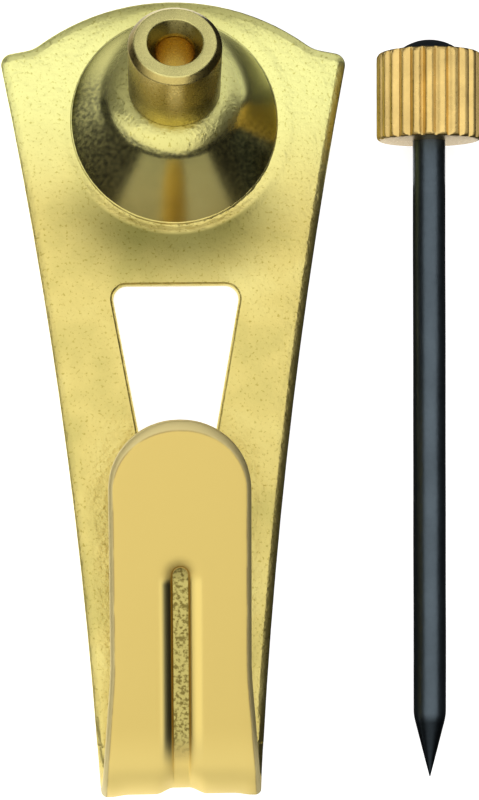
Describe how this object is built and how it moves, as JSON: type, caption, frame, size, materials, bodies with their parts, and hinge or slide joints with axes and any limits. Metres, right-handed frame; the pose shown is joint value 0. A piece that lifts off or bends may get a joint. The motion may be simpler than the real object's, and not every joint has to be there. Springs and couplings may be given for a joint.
{
  "type": "picture hook",
  "caption": "Nail-on picture hook: tapered plate with a domed, slanted nail guide, a window and an upturned tongue with a pressed bead, with its nail and knurled collar.",
  "frame": {"origin": "where the nail guide's axis meets the wall, on the plane of the plate's back", "axes": "+Z out of the wall, +Y up the wall towards the ears, +X to the right seen from the front; the hook lies on its back with its nail beside it"},
  "size_m": [0.0303, 0.0501, 0.01],
  "materials": {
    "plated_sheet": "brass-plated steel sheet, tumbled satin",
    "turned_brass": "turned, satin",
    "blued_steel": "hardened and blued",
    "knurled_brass": "knurled, bright"
  },
  "bodies": {
    "root": {"hook_plate": "plated_sheet", "guide_bushing": "turned_brass", "nail": "blued_steel", "nail_collar": "knurled_brass"}
  },
  "joints": []
}
